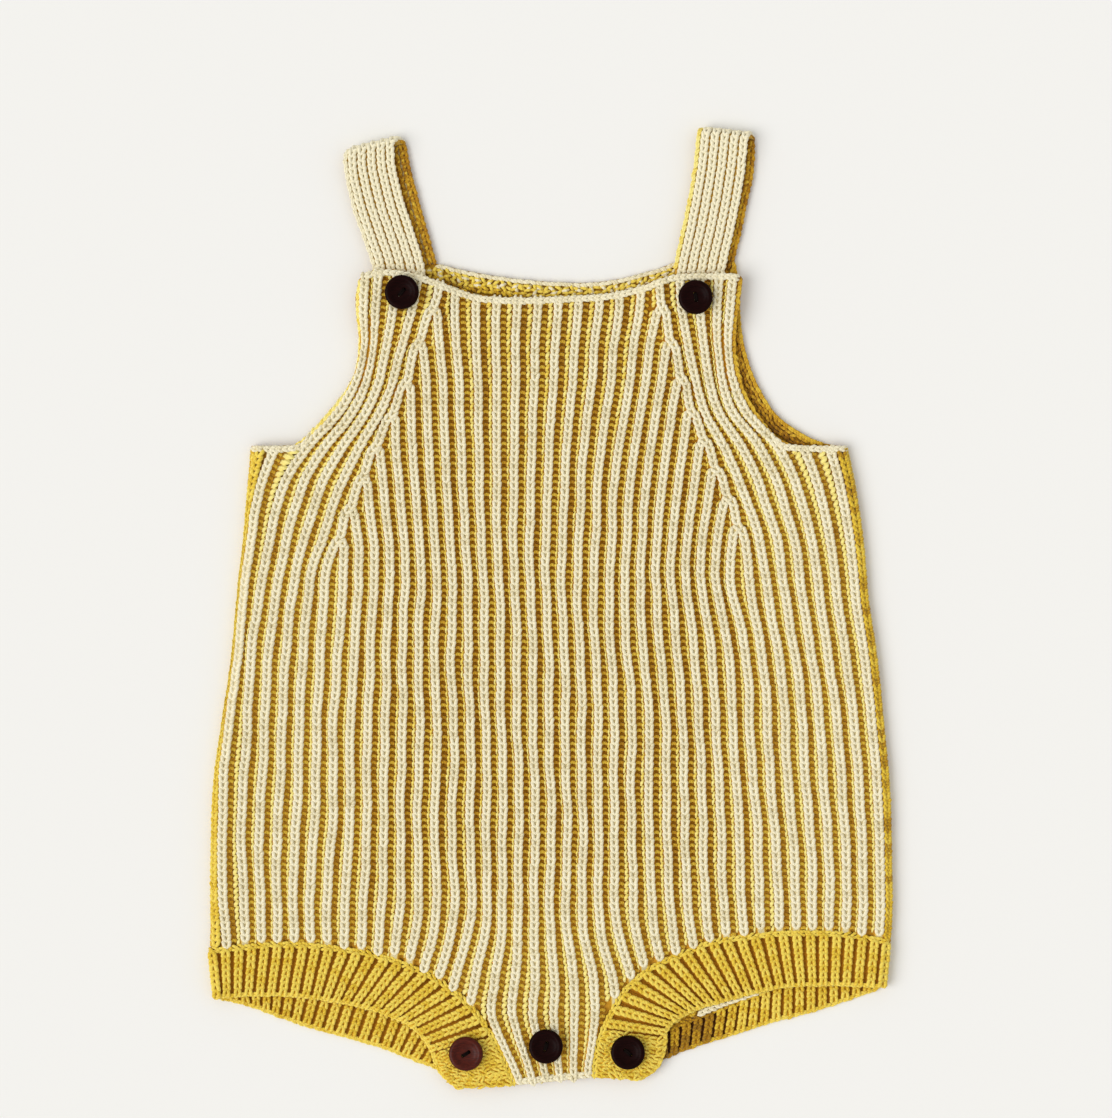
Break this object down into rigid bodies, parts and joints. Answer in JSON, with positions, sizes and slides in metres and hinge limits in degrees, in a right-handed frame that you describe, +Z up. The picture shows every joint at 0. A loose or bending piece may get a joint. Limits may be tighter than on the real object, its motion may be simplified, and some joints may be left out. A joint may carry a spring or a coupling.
{
  "type": "baby romper",
  "caption": "Sleeveless baby romper in raised two-colour rib knit with shoulder straps, ribbed leg bands and round buttons, laid flat on its back.",
  "frame": {"origin": "middle of the bounding box, on the surface that the romper lies on", "axes": "+X across the garment to the wearer's left, +Y from the crotch edge up to the shoulder straps, +Z up from the surface through the back and then the front"},
  "size_m": [0.3004, 0.4222, 0.013],
  "materials": {
    "two_colour_rib": "matte",
    "mustard_rib": "matte",
    "dark_button": "polished"
  },
  "bodies": {
    "root": {"back_panel": "two_colour_rib", "front_panel": "two_colour_rib", "strap_left": "two_colour_rib", "strap_right": "two_colour_rib", "leg_band_left": "mustard_rib", "leg_band_right": "mustard_rib", "button_strap_left": "dark_button", "button_strap_right": "dark_button", "button_crotch_left": "dark_button", "button_crotch_centre": "dark_button", "button_crotch_right": "dark_button"}
  },
  "joints": []
}
